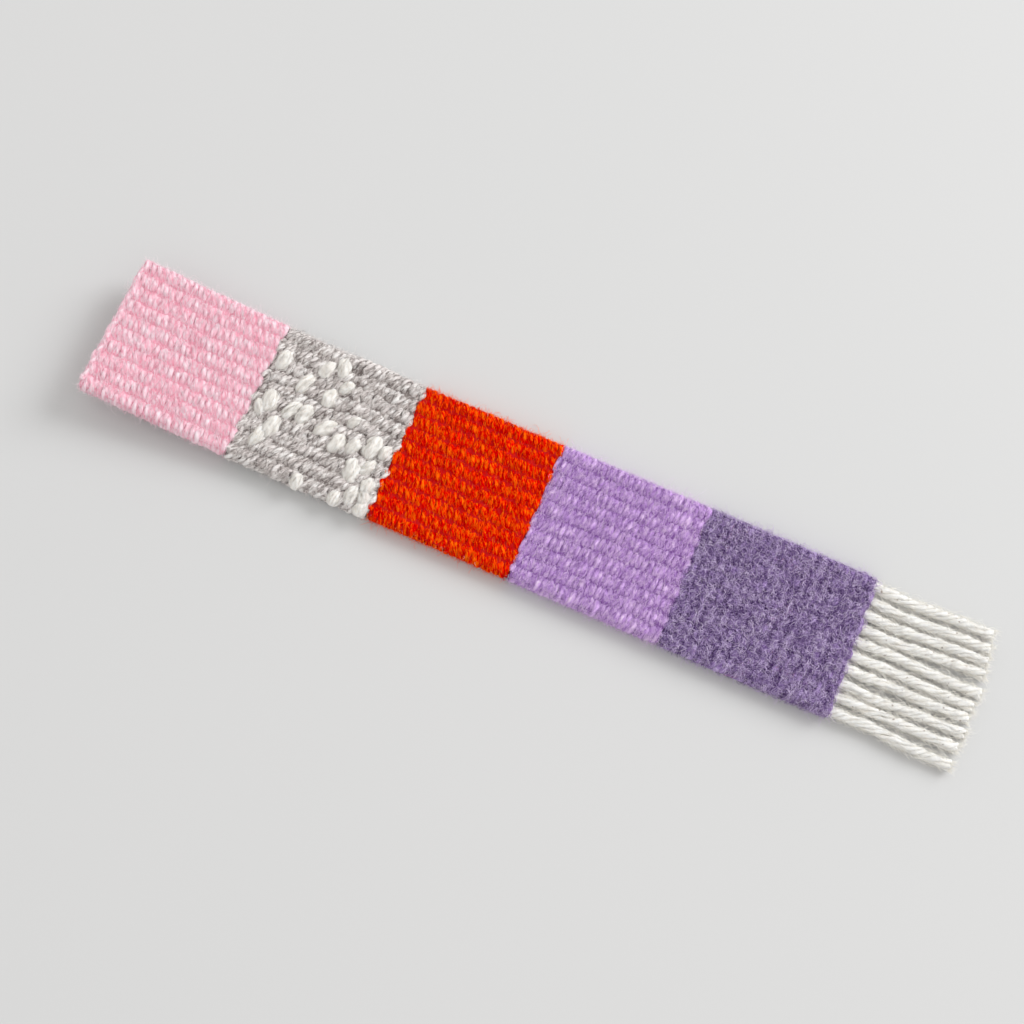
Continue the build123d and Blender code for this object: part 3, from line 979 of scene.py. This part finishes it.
def nub_pieces(r):
    """The slub yarn's nubs and the fibres on them, which take the block's next random numbers."""
    nubs, rings = nub_piece()
    nubs.data.materials.append(wool("nub_wool", rgb(186, 177, 169), rgb(240, 236, 230), rgb(252, 250, 246),
                                    rgb(250, 249, 246), fibre=0.7, blotch=0.1, soft=True))
    lines = nub_lines(rings, 90, 78)
    size, tone = 0.03 * r.uniform(0.6, 1.3, len(lines)), r.uniform(0, 0.85, len(lines))
    fuzz = fibre_tubes("slub_nub_fuzz", lines, size, tone)
    fuzz.data.materials.append(fuzz_material("nub_fuzz", rgb(214, 207, 199), rgb(240, 236, 230),
                                             *[rgb(251, 249, 245)] * 2))
    return [nubs, fuzz]


def add_block(name, slot, yarn, colours, streaks, blotches, cling, halo, felt, lie, tones, patches,
              extra=None, gloss=0.12, inside=(1.2, 1.3)):
    """A block with all its pieces. inside is the ground cloth's half thickness between the ribs and on
    them."""
    dark, middle, light, halo_highlight_colour, sheen = colours
    wool_look = wool(slot, dark, middle, light, sheen, streaks, blotches, extra, gloss)
    # the halo colour is a painted highlight on the stray fibres
    fuzz_look = fuzz_material(f"{name}_fuzz", dark, middle, light, halo_highlight_colour, gloss)
    weft_piece, rings = weft(f"{name}_weft", **yarn)
    weft_piece.data.materials.append(wool_look)
    r = np.random.default_rng(yarn["seed"] + 50)
    fuzz = clinging_pieces(name, rings, yarn, cling, halo, r)
    fuzz += felted_pieces(name, yarn, felt, lie, tones, patches, r)
    for piece in fuzz:
        piece.data.materials.append(fuzz_look)
    with_it = [weft_piece, *fuzz]
    if name == "slub":
        with_it += nub_pieces(r)
    if name == "pink":
        with_it.append(end_wraps("pink_end_wraps", wool_look))
    ground = ground_cloth(f"{name}_ground", yarn["start"], yarn["length"], yarn["spacing"], *inside)
    ground.data.materials.append(painted_shade_ground_material(name, dark, middle))
    for piece in [ground, *with_it]:
        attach(piece, "root")
        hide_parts(f"weft_{name}")


def add_fringe_end(index, end, cotton):
    """One end of the fringe, and its middle line."""
    y = EDGE_WARP - index * PITCH
    points = [np.array([CURL_START_X + along, side, height]) for along, side, height in fringe_points(y, end)]
    line = smooth_line([point * MM for point in points]) / MM
    cord, middle = cord_piece(f"fringe_end_{index + 1}", line, 300 + index)
    cord.data.materials.append(cotton)
    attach(cord, "root")
    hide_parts(f"warp_cord_{index // 2 + 1}")
    return middle


def add_fringe():
    """The ten ends, and their lint in two pieces."""
    cotton = cotton_material()
    middles = [add_fringe_end(index, end, cotton) for index, end in enumerate(FRINGE)]
    white = rgb(255, 254, 249)
    lint_look = fuzz_material("cotton_lint", rgb(244, 236, 226), rgb(253, 249, 241), white, white)
    for number, lines in enumerate((middles[:5], middles[5:])):
        lint = cord_lint(f"fringe_lint_{number + 1}", lines, 400 + number)
        lint.data.materials.append(lint_look)
        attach(lint, "root")


# ---------------------------------------------------------------- floor, light and camera
def floor_material():
    g = Graph("pale_table")
    cloudy = g.add("TexNoise", {"Vector": g.add("TexCoord").outputs["Object"], "Scale": 6.0, "Detail": 2.0})
    colour = g.mix(cloudy.outputs["Fac"], (*rgb(209, 210, 210), 1), (*rgb(212, 212, 212), 1))
    return g.look({"Base Color": colour, "Roughness": 0.7, "Specular IOR Level": 0.2})


FLOOR_HALF, FLOOR_DROP = 4.0, 0.00015     # the beads underneath reach this far below the CAD's surface


def add_floor():
    half, level = FLOOR_HALF, -FLOOR_DROP
    mesh = bpy.data.meshes.new("floor")
    corners = [(-half, -half, level), (half, -half, level), (half, half, level), (-half, half, level)]
    mesh.from_pydata(corners, [], [(0, 1, 2, 3)])
    floor = bpy.data.objects.new("floor", mesh)
    bpy.context.scene.collection.objects.link(floor)
    floor.data.materials.append(floor_material())


CAMERA_TARGET = Vector((-0.0056, -0.00145, 0))
CAMERA_AZIMUTH, CAMERA_ELEVATION, CAMERA_ROLL = map(math.radians, (9.4, 74.7, 14.2))
CAMERA_DISTANCE = 0.2845
CAMERA_VIEW = math.radians(40)


def camera_axes():
    """The camera's right, up and backward directions."""
    a, e, r = CAMERA_AZIMUTH, CAMERA_ELEVATION, CAMERA_ROLL
    back = Vector((math.sin(a) * math.cos(e), -math.cos(a) * math.cos(e), math.sin(e)))
    right = Vector((math.cos(a), math.sin(a), 0))
    up = back.cross(right)
    return right * math.cos(r) + up * math.sin(r), up * math.cos(r) - right * math.sin(r), back


def add_camera():
    data = bpy.data.cameras.new("camera")
    data.sensor_width = 36
    data.lens = 18 / math.tan(CAMERA_VIEW / 2)
    data.clip_start, data.clip_end = 0.01, 20
    camera = bpy.data.objects.new("camera", data)
    right, up, back = camera_axes()
    rotation = Matrix((right, up, back)).transposed()
    camera.matrix_world = Matrix.Translation(CAMERA_TARGET + back * CAMERA_DISTANCE) @ rotation.to_4x4()
    bpy.context.scene.collection.objects.link(camera)
    bpy.context.scene.camera = camera


def add_light(name, offset, size, power, colour=(1, 1, 1)):
    """A soft square light, offset along the camera's right and up as they lie on the floor, and upwards."""
    right, up, _ = camera_axes()
    right, up = Vector((right.x, right.y, 0)).normalized(), Vector((up.x, up.y, 0)).normalized()
    data = bpy.data.lights.new(name, "AREA")
    data.size, data.energy, data.color = size, power, colour
    light = bpy.data.objects.new(name, data)
    light.location = right * offset[0] + up * offset[1] + Vector((0, 0, offset[2]))
    light.rotation_mode = "QUATERNION"
    light.rotation_quaternion = light.location.to_track_quat("Z", "Y")
    bpy.context.scene.collection.objects.link(light)


def add_world():
    world = bpy.data.worlds.new("studio")
    world.use_nodes = True
    background = world.node_tree.nodes["Background"]
    background.inputs["Color"].default_value = (1.0, 0.985, 0.97, 1)
    background.inputs["Strength"].default_value = 0.78
    bpy.context.scene.world = world
    bpy.context.scene.view_settings.view_transform = "Standard"


for block, settings in BLOCKS.items():
    add_block(block, **settings)
add_fringe()
add_floor()
add_camera()
add_light("key", (1.35, 0.6, 0.95), 0.9, 21.0, (0.98, 0.99, 1.0))
add_world()
